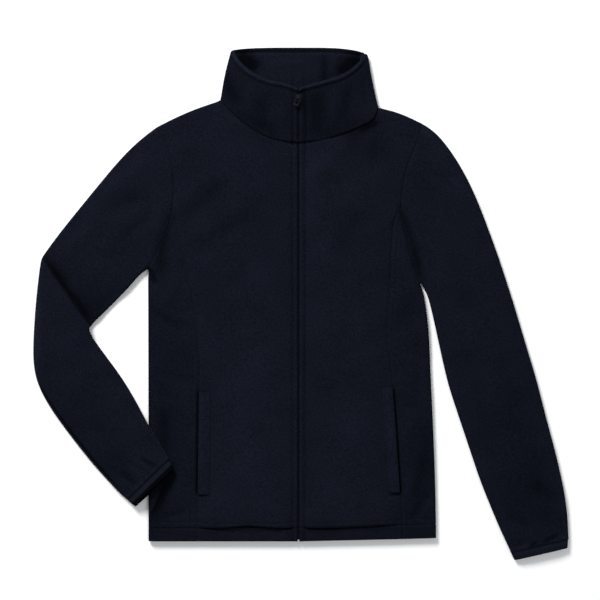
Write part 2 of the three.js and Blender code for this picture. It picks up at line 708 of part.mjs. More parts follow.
add("back_panel", makeBack(), "fleece");
[[RIGHT, "right"], [LEFT, "left"]].forEach(([side, name]) => {
  add(`front_centre_${name}`, makeFrontCentre(side), "fleece");
  add(`front_side_${name}`, makeFrontSide(side), "fleece");
  add(`sleeve_${name}`, makeSleeve(side), "fleece");
  add(`cuff_band_${name}`, makeCuff(side), "binding");
  add(`pocket_welt_${name}`, makeWelt(side), "fleece");
  add(`zip_tape_${name}`, makeTape(side), "tape");
});
add("collar", makeCollar(), "fleece");
add("zip_coil", makeCoil(), "coil");

const sliderSeat = new THREE.Group();
const climb = zipTop(SLIDER_Y + 5) - zipTop(SLIDER_Y - 5);
sliderSeat.position.set(0, SLIDER_Y, zipTop(SLIDER_Y) + CLEAR + 0.1);
sliderSeat.rotation.x = Math.atan2(climb, 10);
group.add(sliderSeat);
add("zip_slider", makeSlider(), "metal", sliderSeat);
const pullSeat = new THREE.Group();
pullSeat.position.z = BAR_HEIGHT;
pullSeat.rotation.z = THREE.MathUtils.degToRad(-PULL.swing);
sliderSeat.add(pullSeat);
add("zip_pull", makePull(), "metal", pullSeat);

export default group;
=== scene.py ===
# %% [markdown]
# # A fleece zip jacket, laid flat
# The jacket lies on its back, zipped up, with its right sleeve folded over at the elbow. Its panels come from
# the CAD frame. Here each one becomes a fine, soft sheet of cloth with its folds, seams and stitches.
# Shapes are worked out in millimetres, and the finished meshes are in metres.

import math

import bmesh
import bpy
import numpy as np
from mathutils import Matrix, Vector
from mathutils.bvhtree import BVHTree


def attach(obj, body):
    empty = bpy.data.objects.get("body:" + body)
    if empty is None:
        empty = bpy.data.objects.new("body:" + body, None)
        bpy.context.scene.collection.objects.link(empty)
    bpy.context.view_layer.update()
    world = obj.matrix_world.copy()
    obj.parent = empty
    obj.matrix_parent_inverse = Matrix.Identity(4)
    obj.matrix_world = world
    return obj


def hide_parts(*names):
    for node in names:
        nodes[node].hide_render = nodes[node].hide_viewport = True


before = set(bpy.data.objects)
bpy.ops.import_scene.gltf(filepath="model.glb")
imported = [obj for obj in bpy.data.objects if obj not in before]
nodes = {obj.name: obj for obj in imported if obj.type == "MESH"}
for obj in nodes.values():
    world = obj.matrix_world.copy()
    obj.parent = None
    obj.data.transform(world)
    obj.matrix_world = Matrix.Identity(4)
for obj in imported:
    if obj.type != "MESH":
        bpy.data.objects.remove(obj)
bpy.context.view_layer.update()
MM = 0.001

# %% [markdown]
# ## Cloth from the panels
# The CAD panels are walls of four-sided cells, and each cell is cut in two triangles. Taking those cuts out
# gives clean cells again, which can be subdivided into soft cloth without ripples. In every triangle the cut,
# the row edge and the column edge follow each other in the same order. So one known cut gives all the others.

# %% Cell cuts
SHARP = math.radians(50)  # a surface ends at an edge that turns more than this


def cut_cost(face, cut):
    """How far the corner across from this edge is from a right angle."""
    points = [loop.vert.co for loop in face.loops]
    corner = points[(cut + 2) % 3]
    one = points[cut] - corner
    other = points[(cut + 1) % 3] - corner
    return abs(one.normalized().dot(other.normalized()))


def spread_cuts(start, cut):
    """Follows the cuts from one triangle over its whole smooth surface."""
    found = {start: cut}
    waiting = [start]
    while waiting:
        face = waiting.pop()
        for k, loop in enumerate(face.loops):
            other = loop.link_loop_radial_next
            if other.face in found or loop.edge.calc_face_angle(math.pi) > SHARP:
                continue
            place = list(other.face.loops).index(other)
            found[other.face] = (place - (k - found[face])) % 3
            waiting.append(other.face)
    return found


def join_cells(bm):
    """Takes out the edges that cut the cells in two."""
    left = set(bm.faces)
    cuts = set()
    while left:
        start = min(left, key=lambda face: face.index)
        tries = [spread_cuts(start, cut) for cut in range(3)]
        best = min(tries, key=lambda found: sum(cut_cost(face, cut) for face, cut in found.items()))
        for face, cut in best.items():
            edge = face.loops[cut].edge
            if all(side in best and side.loops[best[side]].edge is edge for side in edge.link_faces):
                cuts.add(edge)
        left -= set(best)
    bmesh.ops.dissolve_edges(bm, edges=list(cuts), use_verts=False)


# %% Fine cloth
MERGED = 0.02 * MM  # corners that lie closer than this are one
HELD = math.radians(60)  # an edge that turns more than this is held
EDGE_HOLD = 0.5  # how firmly it keeps its shape when the cloth is made smooth
CORNER_HOLD = 1.0
SOFT_CORNERS = 350 * MM  # above this the corners are folds in the collar's rim, and stay soft


def link(name, data):
    """Puts a mesh, a light or a camera into the scene as an object."""
    obj = bpy.data.objects.new(name, data)
    bpy.context.collection.objects.link(obj)
    return obj


def smooth_cloth(node, name, level):
    """A fine copy of a CAD panel: merged, in clean cells, and subdivided."""
    bm = bmesh.new()
    bm.from_mesh(nodes[node].data)
    bmesh.ops.remove_doubles(bm, verts=bm.verts, dist=MERGED)
    bm.faces.index_update()
    join_cells(bm)
    hold = bm.edges.layers.float.new("crease_edge")
    corner = bm.verts.layers.float.new("crease_vert")
    sharp = {edge for edge in bm.edges if edge.calc_face_angle(0) > HELD}
    for edge in sharp:
        edge[hold] = EDGE_HOLD
    for vert in bm.verts:
        if vert.co.y < SOFT_CORNERS and sum(edge in sharp for edge in vert.link_edges) > 2:
            vert[corner] = CORNER_HOLD
    mesh = bpy.data.meshes.new(name)
    bm.to_mesh(mesh)
    bm.free()
    obj = link(name, mesh)
    fine = obj.modifiers.new("soft", "SUBSURF")
    fine.levels = level
    fine.render_levels = level
    made = bpy.data.meshes.new_from_object(obj.evaluated_get(bpy.context.evaluated_depsgraph_get()))
    obj.modifiers.clear()
    obj.data = made
    made.name = name
    made.shade_smooth()
    triangles = sum(len(face.vertices) - 2 for face in made.polygons)
    print(f"{name}: {len(mesh.polygons)} cells, {triangles} triangles")
    return obj


# Each piece, with its CAD node and how often its cells are halved.
CLOTH_PIECES = {
    "back": ("back_panel", 2),
    "front_centre_right": ("front_centre_right", 3),
    "front_centre_left": ("front_centre_left", 3),
    "front_side_right": ("front_side_right", 3),
    "front_side_left": ("front_side_left", 3),
    "sleeve_right": ("sleeve_right", 3),
    "sleeve_left": ("sleeve_left", 3),
    "collar": ("collar", 3),
    "welt_right": ("pocket_welt_right", 3),
    "welt_left": ("pocket_welt_left", 3),
    "cuff_right": ("cuff_band_right", 3),
    "cuff_left": ("cuff_band_left", 3),
    "tape_right": ("zip_tape_right", 1),
    "tape_left": ("zip_tape_left", 1),
}
cloth = {name: smooth_cloth(node, f"cloth_{name}", level) for name, (node, level) in CLOTH_PIECES.items()}

# %% [markdown]
# ## Lines and folds
# The seams are smooth curves, and the soft folds are troughs and ridges a centimetre or two wide. Both are
# worked out here from short tables. A fold can be narrow on one side and wide on the other, as where cloth
# tips over an edge. x, y and z are the places of many points at once.

# %% Curves and tables
def smooth(start, end, value):
    """Rises from 0 at start to 1 at end."""
    t = np.clip((value - start) / (end - start), 0, 1)
    return t * t * (3 - 2 * t)


def soft_line(off, place, width):
    """A soft line: 1 at its place, fading to nothing on both sides."""
    return np.exp(-(((off - place) / width) ** 2))


def soft_spot(off_x, off_y, width):
    """A soft round spot: 1 at its middle."""
    return soft_line(np.hypot(off_x, off_y), 0, width)


def table(columns, *rows):
    """A list of rows, each with its values under the columns' names."""
    return [dict(zip(columns, row)) for row in rows]


def smooth_line(places, step=3):
    """Evenly spaced points of a smooth curve through some places."""
    points = np.array(places, float)
    points = np.vstack([2 * points[0] - points[1], points, 2 * points[-1] - points[-2]])
    fine = []
    for a, b, c, d in zip(points, points[1:], points[2:], points[3:]):
        for t in np.arange(0, 1, 1 / 16):
            fine.append(b + 0.5 * t * (c - a + t * (2 * a - 5 * b + 4 * c - d + t * (3 * b - a - 3 * c + d))))
    fine = np.array(fine + [points[-2]])
    length = np.append(0, np.cumsum(np.hypot(*np.diff(fine, axis=0).T)))
    along = np.linspace(0, length[-1], max(round(length[-1] / step), 1) + 1)
    return np.column_stack([np.interp(along, length, fine[:, k]) for k in (0, 1)])


def beside(line, offset):
    """The same line, moved to its right by some millimetres."""
    way = np.gradient(line, axis=0)
    way /= np.hypot(*way.T)[:, None]
    return line + offset * np.column_stack([way[:, 1], -way[:, 0]])


def nearest(line, x, y):
    """Distance from a line, above zero on its right, and the length along it."""
    far, side, along = nearest_place(line, x, y)[:3]
    return far * side, along


def nearest_place(line, x, y):
    """Distance, side, length along and nearest place of a line, for many places at once."""
    far = np.full(len(x), 1e9)
    side, along, foot_x, foot_y = (np.zeros(len(x)) for _ in range(4))
    start = 0
    for a, b in zip(line, line[1:]):
        way = b - a
        length = np.hypot(*way)
        way = way / length
        px, py = x - a[0], y - a[1]
        t = np.clip(px * way[0] + py * way[1], 0, length)
        off = np.hypot(px - t * way[0], py - t * way[1])
        better = off < far
        far[better] = off[better]
        side[better] = np.sign(px * way[1] - py * way[0])[better]
        along[better] = start + t[better]
        foot_x[better] = (a[0] + t * way[0])[better]
        foot_y[better] = (a[1] + t * way[1])[better]
        start += length
    return far, side, along, foot_x, foot_y


SEAM_GAP = 0.03  # how near an edge may come to its seam


def close_seam(points, line, reach):
    """Draws cloth up to a seam line, so that the two rounded edges touch."""
    x, y = points.T[:2]
    far, _, _, foot_x, foot_y = nearest_place(line, x, y)
    step = reach * soft_line(far, 0, max(3, 1.6 * reach))
    pull = np.minimum(step, np.maximum(far - SEAM_GAP, 0)) / np.maximum(far, 0.01)
    points[:, 0] += pull * (foot_x - x)
    points[:, 1] += pull * (foot_y - y)


# A fold runs from one place to another. It has a width on its left and on its right, an amount and a bend.
FOLD = ["x1", "y1", "x2", "y2", "left", "right", "amount", "bend"]


def folds(rows, x, y):
    """What the rows of a table add: a height for folds, a tone for the nap. Each fades at its ends."""
    total = np.zeros(len(x))
    for row in rows:
        way = np.array([row["x2"] - row["x1"], row["y2"] - row["y1"]], float)
        length = np.hypot(*way)
        way /= length
        px, py = x - row["x1"], y - row["y1"]
        t = (px * way[0] + py * way[1]) / length
        bow = row["bend"] * 4 * np.clip(t, 0, 1) * (1 - np.clip(t, 0, 1))
        off = px * way[1] - py * way[0] - bow
        width = np.where(off < 0, row["left"], row["right"])
        ends = smooth(-0.2, 0.25, t) * (1 - smooth(0.75, 1.2, t))
        total += row["amount"] * ends * soft_line(off, 0, width)
    return total


def ripple(x, y, size):
    """Slow unevenness of laid cloth, from -1 to 1."""
    waves = ((1.0, 0.35, 0.2), (-0.45, 0.9, 1.7), (0.7, -0.8, 4.1), (0.25, 1.3, 2.9))
    return sum(np.sin(2 * math.pi * (a * x + b * y) / size + c) for a, b, c in waves) / len(waves)


# %% Seams
HEM_Y = -361
HEM_RISE = 5  # the hem edge is that much higher at the wearer's left
HEM_ROWS = (20.5, 28.5)  # stitch rows above the hem edge
ZIP_EDGE = 1.3  # from the zip's middle to a front edge
FRONT_ROW = 9.2  # from the zip's middle to the stitches of a front edge
PRINCESS_ROWS = (1.8, 8.2)  # from a princess seam to its stitches on the side panel
PRINCESS_INNER = 4  # and to those on the centre panel
ARMHOLE_ROWS = (1.7, 6.3)  # from an armhole to its stitches on the body
NECK_ROW = 3
RIM_ROW = 7.4  # from the collar's rim to its stitches
BACK_RIM_ROW = 6.8
WELT_ROW = 13.5  # from a pocket's mouth to the stitches of its welt
CUFF_ROW = 1.5


def hem_rise(x):
    """The hem edge rises towards the wearer's left."""
    return HEM_RISE * np.clip(x / 206, 0, 1) ** 1.4


def hem_line(x1, x2, above):
    """A line along the hem, at some height above its edge."""
    x = np.linspace(x1, x2, 60)
    return np.column_stack([x, HEM_Y + above + hem_rise(x)])


princess = {
    "right": smooth_line(
        [(-152, -361), (-151, -300), (-149, -136), (-148, -90), (-154, -30), (-161, 18), (-169, 42),
         (-178, 90), (-184, 114), (-189, 141)]
    ),
    "left": smooth_line(
        [(156, -357.5), (152, -286), (141, -129), (134, -75), (133, -30), (136, 6), (137, 42), (139.5, 90),
         (142, 117), (152, 139)]
    ),
}
armhole = {
    "right": smooth_line(
        [(-225.6, 46), (-214.5, 68), (-205, 89), (-193, 118), (-189, 141), (-186.5, 167), (-187.5, 190),
         (-190, 209), (-197, 232), (-214, 259.5)]
    ),
    "left": smooth_line(
        [(183, 25.5), (174, 51), (166, 80), (158, 114), (153, 137), (153.5, 152), (157.5, 178.5),
         (162, 199.5), (171, 220), (180, 245), (185, 265)]
    ),
}
neck = {
    "right": smooth_line(
        [(-1.3, 236.4), (-22, 238), (-49, 246), (-79, 264), (-98, 280), (-109, 291), (-117, 300)]
    ),
    "left": smooth_line(
        [(1.3, 236.4), (35, 240), (68, 250), (90, 259), (108, 268), (115, 277), (119.5, 289.8)]
    ),
}
rim = {
    "right": smooth_line(
        [(-1.3, 316), (-20, 322.5), (-46, 328), (-71, 340), (-86, 354), (-94.5, 366), (-101, 374.5)]
    ),
    "left": smooth_line([(1.3, 316.5), (33, 325), (62, 334), (80, 345), (92, 357), (98, 364), (104, 369.5)]),
}
OUTWARD = {"right": -1, "left": 1}  # the way out from the zip


def from_princess(side, x, y):
    """Distance from a princess seam, above zero on the side panel."""
    return nearest(princess[side], x, y)[0] * OUTWARD[side]

# %% [markdown]
# ## Folds of the body
# The body lies flat, with soft troughs at the armholes, waist and chest, a deeper one under the folded arm,
# and a dip along each seam. Just above the hem stitches the front tips over.

# %% Body
PRESSED = 1.35  # how strongly the soft folds stand out
DEEPEST = -3.8  # no fold reaches the layer underneath
body_folds = table(
    FOLD,
    (-198, 130, -138, 64, 13, 13, -1.9, 3), (-192, 120, -210, 58, 7, 9, -2.2, 0),
    (-226, 48, -211, 20, 2.5, 5, -2.0, -2), (-220, -13, -168, -45, 6, 9, -1.8, 3),
    (-212, -106, -158, -122, 5, 9, -1.3, 2), (-197, -172, -191, -234, 7, 9, -2.4, 0),
    (-189, -252, -222, -328, 9, 4, -3.4, -3), (-168, -317, -208, -331, 5, 5, -1.3, 0),
    (-110, -40, -60, -150, 30, 30, 0.9, 5), (-176, 40, -200, -10, 8, 12, 1.0, 0),
    (118, 244, 116, 192, 9, 9, -1.6, 0), (28, 186, 64, 226, 12, 12, 1.2, 0),
    (100, 130, 60, 60, 14, 14, -0.9, 3), (176, 6, 146, -50, 9, 12, -1.3, 3),
    (190, -206, 164, -300, 8, 8, 1.2, 0), (201, -284, 170, -332, 7, 7, -1.6, 0),
    (178, -110, 186, -190, 9, 8, -1.0, 0), (-60, 160, -30, 60, 20, 20, -0.6, 6),
)


def seam_dip(x, y):
    """Cloth dips at its seams, and their stitches pucker it a little."""
    total = np.zeros(len(x))
    for name, out in OUTWARD.items():
        off, along = nearest(princess[name], x, y)
        off = off * out
        total -= 0.5 * soft_line(off, 0, 3)
        total += 0.25 * soft_line(off, 5, 3) * (1 + np.sin(along * 0.8 + np.sin(along * 0.13)))
        total -= 0.45 * soft_line(off, PRINCESS_ROWS[1], 1.6)
        off, along = nearest(armhole[name], x, y)
        off = off * out
        total -= 0.6 * soft_line(off, 0, 3.2)
        total -= 0.4 * soft_line(off, -ARMHOLE_ROWS[1], 1.6)
        total += 0.2 * soft_line(off, -3.6, 2) * (1 + np.sin(along * 0.75))
        off = nearest(neck[name], x, y)[0]
        total -= 0.6 * soft_line(off, 0, 3.5) * smooth(310, 280, y)
    return total


def arm_groove(x, y):
    """The deep soft groove where the straight sleeve meets the body."""
    off, along = nearest(armhole["left"], x, y)
    return -2.6 * soft_line(off, 0, 4.5) * smooth(0, 12, along) * (1 - smooth(95, 135, along))


def zip_edges(x, y):
    """The front edges lie a little proud, up to their stitches."""
    off = np.abs(x)
    bar = 0.5 * smooth(0, 3, off) * (1 - smooth(7, FRONT_ROW, off))
    return bar - 1.3 * soft_line(off, FRONT_ROW, 1.5)


def hem_lines(x, y):
    """The hem dips at its two rows of stitches, and puckers a little between them and its edge."""
    above = y - HEM_Y - hem_rise(x)
    rows = sum(soft_line(above, row, 1.7) for row in HEM_ROWS)
    return -0.5 * rows + 0.25 * soft_line(above, 10, 6) * np.sin(x * 0.21 + np.sin(x * 0.05))


def unevenness(x, y, coarse, fine, shift):
    """The slow and the finer unevenness of laid cloth."""
    return 0.7 * ripple(x, y, coarse) + 0.2 * ripple(x + shift[0], y + shift[1], fine)


def body_height(x, y):
    """How far the front of the body rises or dips from its CAD panels."""
    soft = np.maximum(PRESSED * folds(body_folds, x, y) + unevenness(x, y, 110, 34, (30, 0)), DEEPEST)
    laid = smooth(ZIP_EDGE + 8, ZIP_EDGE + 30, np.abs(x)) * smooth(HEM_Y + 24, HEM_Y + 40, y)
    return soft * laid + seam_dip(x, y) + arm_groove(x, y) + zip_edges(x, y) + hem_lines(x, y)


def upper(z):
    """One on the upper layer of laid cloth, and 0 on the layer underneath."""
    return smooth(3.2, 5.8, z)


# The lower and upper end of each pocket's mouth, and how far the side panel falls away there.
pocket = {
    "right": {"low": -291, "high": -137, "depth": 2.2},
    "left": {"low": -289, "high": -130, "depth": 2.0},
}


def draw_tip(points, name):
    """Draws the upper tip of a side panel out to where its seam meets the armhole."""
    end_x, end_y = princess[name][-1]
    near = smooth(end_y - 13, end_y - 4.5, points[:, 1]) * upper(points[:, 2])
    points[:, 0] += 0.75 * near * (end_x - points[:, 0])
    points[:, 1] += 4.6 * near


def across_welt(off):
    """One over a pocket's welt, from its inner edge to the mouth."""
    return smooth(-19, -15, off) * (1 - smooth(-1, 1, off))


def pocket_mouth(name, x, y):
    """Outside a pocket's welt the side panel falls away, and dark slits close its two ends."""
    low, high, depth = pocket[name].values()
    off = from_princess(name, x, y)
    inside = smooth(low - 3, low + 4, y) * (1 - smooth(high - 4, high + 3, y))
    fall = -depth * soft_line(np.maximum(off, 0), 0, 3.4) * inside
    ends = soft_line(y, low - 1, 1.6) + soft_line(y, high + 1, 1.6)
    return np.where(off > -0.4, fall, 0) - 1.3 * ends * across_welt(off)


# The slit above the hem: its height above the hem edge, its depth, and how far its lip leans down.
SLIT = table(
    ["x", "above", "depth", "lean"],
    (-152, 19.5, 1.2, 0.5), (-138, 19.2, 3.0, 1.5), (-118, 20.0, 4.2, 2.4), (-98, 22.4, 4.6, 2.4),
    (-76, 24.4, 4.6, 2.0), (-56, 22.6, 4.4, 2.0), (-36, 20.6, 4.4, 2.4), (-12, 19.4, 4.2, 2.2),
    (-8, 19.4, 0.4, 0), (10, 19.6, 0.4, 0), (14, 19.4, 4.4, 2.4), (36, 19.4, 4.2, 2.4), (66, 19.8, 3.2, 1.8),
    (98, 20.6, 2.4, 1.2), (126, 22.0, 1.8, 0.8), (150, 21.0, 0.6, 0.2), (160, 20.5, 0.3, 0),
)
BULGE = 4  # the front stands that far proud of the hem band, as in the CAD panels


def slit_at(x):
    """The slit's height above the hem edge, its depth and its lean, at some places across the hem."""
    places = [row["x"] for row in SLIT]
    return [np.interp(x, places, [row[key] for row in SLIT]) for key in ("above", "depth", "lean")]


def hem_slit(points):
    """A dark uneven slit, where the front tips over the stitches of the hem."""
    x, y, z = points.T.copy()
    level, depth, lean = slit_at(x)
    above = y - HEM_Y - hem_rise(x)
    off = above - level
    below = smooth(0.6, -1.8, off) * smooth(19, 22, above)
    bulge = BULGE * smooth(HEM_ROWS[0], HEM_ROWS[0] + 3, above)
    points[:, 2] -= below * (bulge + 0.8) * smooth(5, 8, z)
    points[:, 2] -= depth * soft_line(off, 0, 1.3) * smooth(5, 8, z)
    points[:, 1] -= lean * smooth(0, 1.5, off) * (1 - smooth(3, 14, off)) * smooth(8, 11, z)


# %% [markdown]
# ## Folds of the sleeves and the collar
# The right forearm is folded over the upper arm, so a dark line runs along the fold. The cuffs gather both
# sleeves a little. The collar's rim is a soft roll, and broad folds run down from it.

# %% Sleeves
sleeve_folds = {
    "right": table(
        FOLD,
        (-222, 122, -266, 84, 7, 9, -1.7, 2), (-228, 152, -292, 128, 9, 10, -1.1, 0),
        (-382, 66, -309, -40, 11, 2.5, -3.0, 0), (-387, 60, -316, -43, 2.5, 12, 1.6, 0),
        (-300, -20, -268, 12, 9, 9, -1.5, 0),
        (-230, 200, -285, 168, 12, 12, 0.9, 0), (-300, 110, -348, 70, 12, 12, 0.9, 0),
        (-352, -40, -328, -122, 12, 12, -0.9, 3), (-388, -18, -377, -112, 7, 5, 1.0, 0),
        (-340, -150, -296, -208, 9, 9, -0.9, 2), (-262, -150, -244, -190, 6, 7, -0.9, 0),
        (-233, -238, -213, -249, 2.4, 3.4, -2.0, 0), (-252, -244, -232, -258, 4, 4, -1.2, 0),
        (-268, -258, -246, -276, 4, 5, -1.2, 1), (-286, -262, -262, -284, 4, 4, 0.9, 0),
        (-214, -214, -204, -232, 3, 4, -1.0, 0),
    ),
    "left": table(
        FOLD,
        (170, 180, 214, 118, 9, 9, -1.2, 0), (178, 110, 214, 40, 8, 10, -1.4, -2),
        (200, 70, 248, 0, 11, 11, 0.9, 0), (226, 60, 262, -30, 11, 11, -0.9, 0),
        (300, -30, 322, -140, 12, 12, -0.9, 3), (268, -120, 290, -210, 10, 10, -0.8, 0),
        (356, -272, 386, -300, 8, 8, -1.3, 0), (316, -322, 346, -338, 7, 7, -1.1, 0),
        (366, -366, 389, -352, 4.5, 2.6, -2.4, 0), (347, -369, 358, -364, 3, 3, -1.4, 0),
        (330, -370, 341, -358, 4, 4, -1.1, 0), (392, -330, 399, -354, 3.4, 3.4, -1.2, 0),
        (300, -300, 322, -362, 5, 6, 0.9, 0),
    ),
}
cuff_line = {
    "right": smooth_line([(-193.5, -238), (-256.5, -299.3)]),
    "left": smooth_line([(317.5, -378.3), (404.8, -358)]),
}
FOLD_LINE = np.array([(-385.0, 63.0), (-314.0, -41.0)])  # the forearm's folded edge
FOLD_WAY = np.array([0.826, 0.564])  # from the forearm towards the upper arm
ELBOW = np.array([-315.5, -44.0])  # the inner corner of the bent sleeve
CROSSING = 9.1  # how high the folded sleeve lies where it crosses the body
# The forearm's lower edge.
UNDER_EDGE = smooth_line(
    [(-394, -120), (-385, -141), (-366, -171), (-344, -201), (-322, -229), (-303, -252), (-283, -274),
     (-267.5, -290)]
)


def rest_height(x, y):
    """The height of what a sleeve lies on: nothing, or the body under the folded forearm."""
    return np.where((x < 0) & (y < -100), CROSSING * smooth(-258, -229, x), 0)


def gathers(name, x, y):
    """Puckers that a cuff draws in, dying away up the sleeve."""
    off, along = nearest(cuff_line[name], x, y)
    wave = np.sin(along * 0.62 + 1.2 * np.sin(along * 0.19)) + 0.5 * np.sin(along * 1.13 + 2)
    return 0.42 * wave * soft_line(off, 0, 15) - 0.5 * soft_line(off, 0, 2.2)


def sleeve_height(name, x, y):
    """How far a sleeve rises or dips. Near its armhole it goes over into the body."""
    own = np.maximum(PRESSED * folds(sleeve_folds[name], x, y) + unevenness(x, y, 90, 31, (0, 20)), DEEPEST)
    off = np.abs(nearest(armhole[name], x, y)[0])
    meets = 1 - smooth(2, 26, off)
    return meets * body_height(x, y) + (1 - meets) * own + gathers(name, x, y)


def tip_forearm(points):
    """Leans the folded edge of the forearm over the upper arm."""
    x, y, z = points.T
    near = soft_line(nearest(FOLD_LINE, x, y)[0], 0, 8) * smooth(8.6, 13, z)
    points[:, :2] += 4.2 * near[:, None] * FOLD_WAY


def pinch_elbow(points):
    """Draws the inner corner of the elbow to a sharp point."""
    off = points[:, :2] - ELBOW
    points[:, 1] -= 0.75 * off[:, 1] * soft_spot(*off.T, 9)


def from_under_edge(x, y):
    """Distance from the forearm's lower edge, and how much of it counts there, fading at both ends."""
    off, along = nearest(UNDER_EDGE, x, y)
    return np.abs(off), smooth(0, 40, along) * (1 - smooth(180, 212, along))


def under_layer(points):
    """Along the forearm's lower edge the layer underneath shows beyond the upper one."""
    x, y, z = points.T
    off, counts = from_under_edge(x, y)
    step = 2.8 * soft_line(off, 4.6, 1.3) + 1.5 * (1 - smooth(2.5, 4, off))
    points[:, 2] -= counts * smooth(2.4, 4.6, z) * step


def lower_cuff(points, z):
    """The lower layer of the right cuff reaches a little beyond the upper one."""
    away = np.abs(nearest(cuff_line["right"], *points.T[:2])[0])
    lower = (1 - smooth(3, 5, z)) * smooth(3, 8, away)
    points[:, 0] += 2.6 * lower
    points[:, 1] -= 2.9 * lower


# %% Collar
collar_folds = table(
    FOLD,
    (-107, 338, -92, 290, 6, 8, -1.9, 2), (-46, 290, -52, 252, 7, 7, -1.1, 0),
    (28, 306, 30, 246, 9, 12, -1.3, 0), (76, 318, 68, 268, 6, 6, -1.1, 0),
    (-72, 312, -66, 268, 8, 8, 0.8, 0), (54, 312, 50, 262, 7, 7, 0.9, 0),
    (96, 330, 104, 286, 5, 5, -1.0, 0), (-22, 312, -20, 262, 7, 7, 0.6, 0),
)
inner_folds = table(
    FOLD,
    (38, 362, 41, 324, 4, 6, -1.5, 0), (47, 360, 50, 330, 5, 5, 1.0, 0),
    (-88, 372, -66, 344, 6, 6, -1.3, 0), (62, 362, 92, 346, 7, 7, -1.5, 0),
    (-36, 352, 20, 350, 6, 6, 0.7, -3), (-60, 360, -52, 335, 6, 6, -0.8, 0),
)
BACK_RIM = smooth_line([(-100, 376), (-60, 377.6), (0, 378), (60, 377.2), (103, 371)])


def collar_outside(z):
    """One on the front of the collar, and 0 on its back, whose inside shows in the neck."""
    return smooth(4.7, 5.8, z)


def collar_front(x, y):
    """How far the collar's front rises or dips, with its rolled rim."""
    total = PRESSED * folds(collar_folds, x, y) + 0.6 * ripple(x, y, 44)
    for name in OUTWARD:
        off, along = nearest(rim[name], x, y)
        off = np.abs(off)
        total += 1.4 * soft_line(off, 3.2, 2.6) - 1.1 * soft_line(off, RIM_ROW, 1.6)
        total += 0.25 * soft_line(off, 9.5, 2.5) * np.sin(along * 0.7)
    return total + zip_edges(x, y)


def collar_back(x, y):
    """How far the inside of the collar's back rises or dips."""
    off = np.abs(nearest(BACK_RIM, x, y)[0])
    rolled = 0.5 * soft_line(off, 3, 2.4) - 0.9 * soft_line(off, BACK_RIM_ROW, 1.6)
    return PRESSED * folds(inner_folds, x, y) + 0.4 * ripple(x, y, 38) + rolled


def notch(points):
    """The two corners of the collar are rounded off at the zip."""
    x, y, z = points.T
    points[:, 1] -= 3.2 * smooth(304, 318, y) * smooth(10, 14, z) * soft_line(x, 0, 4)


def fuller_rim(points):
    """At the wearer's left the rim turns round before it meets the collar's outer edge."""
    x, y, z = points.T.copy()
    near = soft_spot(x - 98.5, y - 364, 6) * collar_outside(z) * (1 - smooth(100, 104, x))
    points[:, 0] -= 4.5 * near
    points[:, 1] += 4.0 * near


RIM_CORNER = {"height": 6.5, "reach": 11, "press": 0.8}
# The two outer corners of the collar's rim, and the radius of each.
OUTER_CORNERS = table(["x", "y", "radius"], (-100.5, 375.5, 5.5), (103, 372.5, 10))


def round_corner(points, x, y, radius):
    """Rounds a square corner that points up and outwards."""
    outward = np.array([np.sign(x), 1.0])
    middle = np.array([x, y]) - radius * outward
    off = (points[:, :2] - middle) * outward
    inside = (off > 0).all(axis=1)
    off = off[inside]
    points[inside, :2] = middle + outward * off * (off.max(axis=1) / np.hypot(*off.T))[:, None]


def lower_peak(points, x, y):
    """Presses down the peak where the two ends of the rim meet."""
    near = soft_spot(points[:, 0] - x, points[:, 1] - y, RIM_CORNER["reach"])
    points[:, 2] -= RIM_CORNER["press"] * near * np.maximum(points[:, 2] - RIM_CORNER["height"], 0)


# %% Soft shapes onto the cloth
def read_points(obj):
    """The places of an object's points, in millimetres."""
    flat = np.empty(len(obj.data.vertices) * 3, np.float32)
    obj.data.vertices.foreach_get("co", flat)
    return flat.reshape(-1, 3).astype(float) / MM


def write_points(obj, points):
    """Puts the places of its points back into an object."""
    obj.data.vertices.foreach_set("co", (points * MM).astype(np.float32).ravel())
    obj.data.update()


def kind_and_side(name):
    """What a piece is, and which side it is on."""
    words = name.split("_")
    return words[0], words[-1]


def seams_of(name):
    """The seam lines that a piece is sewn along, and how far its edge is drawn to each."""
    kind, side = kind_and_side(name)
    if kind == "back":
        return [(armhole["right"], 1.1), (armhole["left"], 1.1)]
    if kind == "collar":
        return [(neck["right"], 3.4), (neck["left"], 3.4)]
    if kind == "front":
        to_neck = [(neck[side], 3.4)] if "centre" in name else []
        return [(princess[side], 1.2), (armhole[side], 1.2)] + to_neck
    if kind == "sleeve":
        return [(armhole[side], 1.2), (cuff_line[side], 1.6)]
    if kind == "cuff":
        return [(cuff_line[side], 2.2)]
    return []


def shape_body(points, name):
    """Folds, pockets and the slit of a front panel, or the folds of a welt."""
    kind, side = kind_and_side(name)
    x, y, z = points.T.copy()
    if kind == "welt":
        height = body_height(x, y) - 1.0 * smooth(-5, -14, from_princess(side, x, y))
    else:
        height = body_height(x, y) + pocket_mouth(side, x, y)
    points[:, 2] += height * upper(z)
    if kind == "front":
        hem_slit(points)
    if name.startswith("front_side"):
        draw_tip(points, side)


def shape_sleeve(points, name):
    """Folds of a sleeve or of its cuff band, and the bent elbow."""
    side = kind_and_side(name)[1]
    x, y, z = points.T.copy()
    own = z - rest_height(x, y)
    points[:, 2] += sleeve_height(side, x, y) * upper(own)
    if name == "sleeve_right":
        tip_forearm(points)
        pinch_elbow(points)
        under_layer(points)
    if name == "cuff_right":
        lower_cuff(points, own)


def shape_collar(points, name):
    """Folds, rims and corners of the collar."""
    x, y, z = points.T.copy()
    front = collar_outside(z)
    inside = (1 - front) * smooth(1.5, 3.5, z)
    points[:, 2] += front * collar_front(x, y) + inside * collar_back(x, y)
    notch(points)
    fuller_rim(points)
    for corner in OUTER_CORNERS:
        round_corner(points, **corner)
        lower_peak(points, corner["x"], corner["y"])


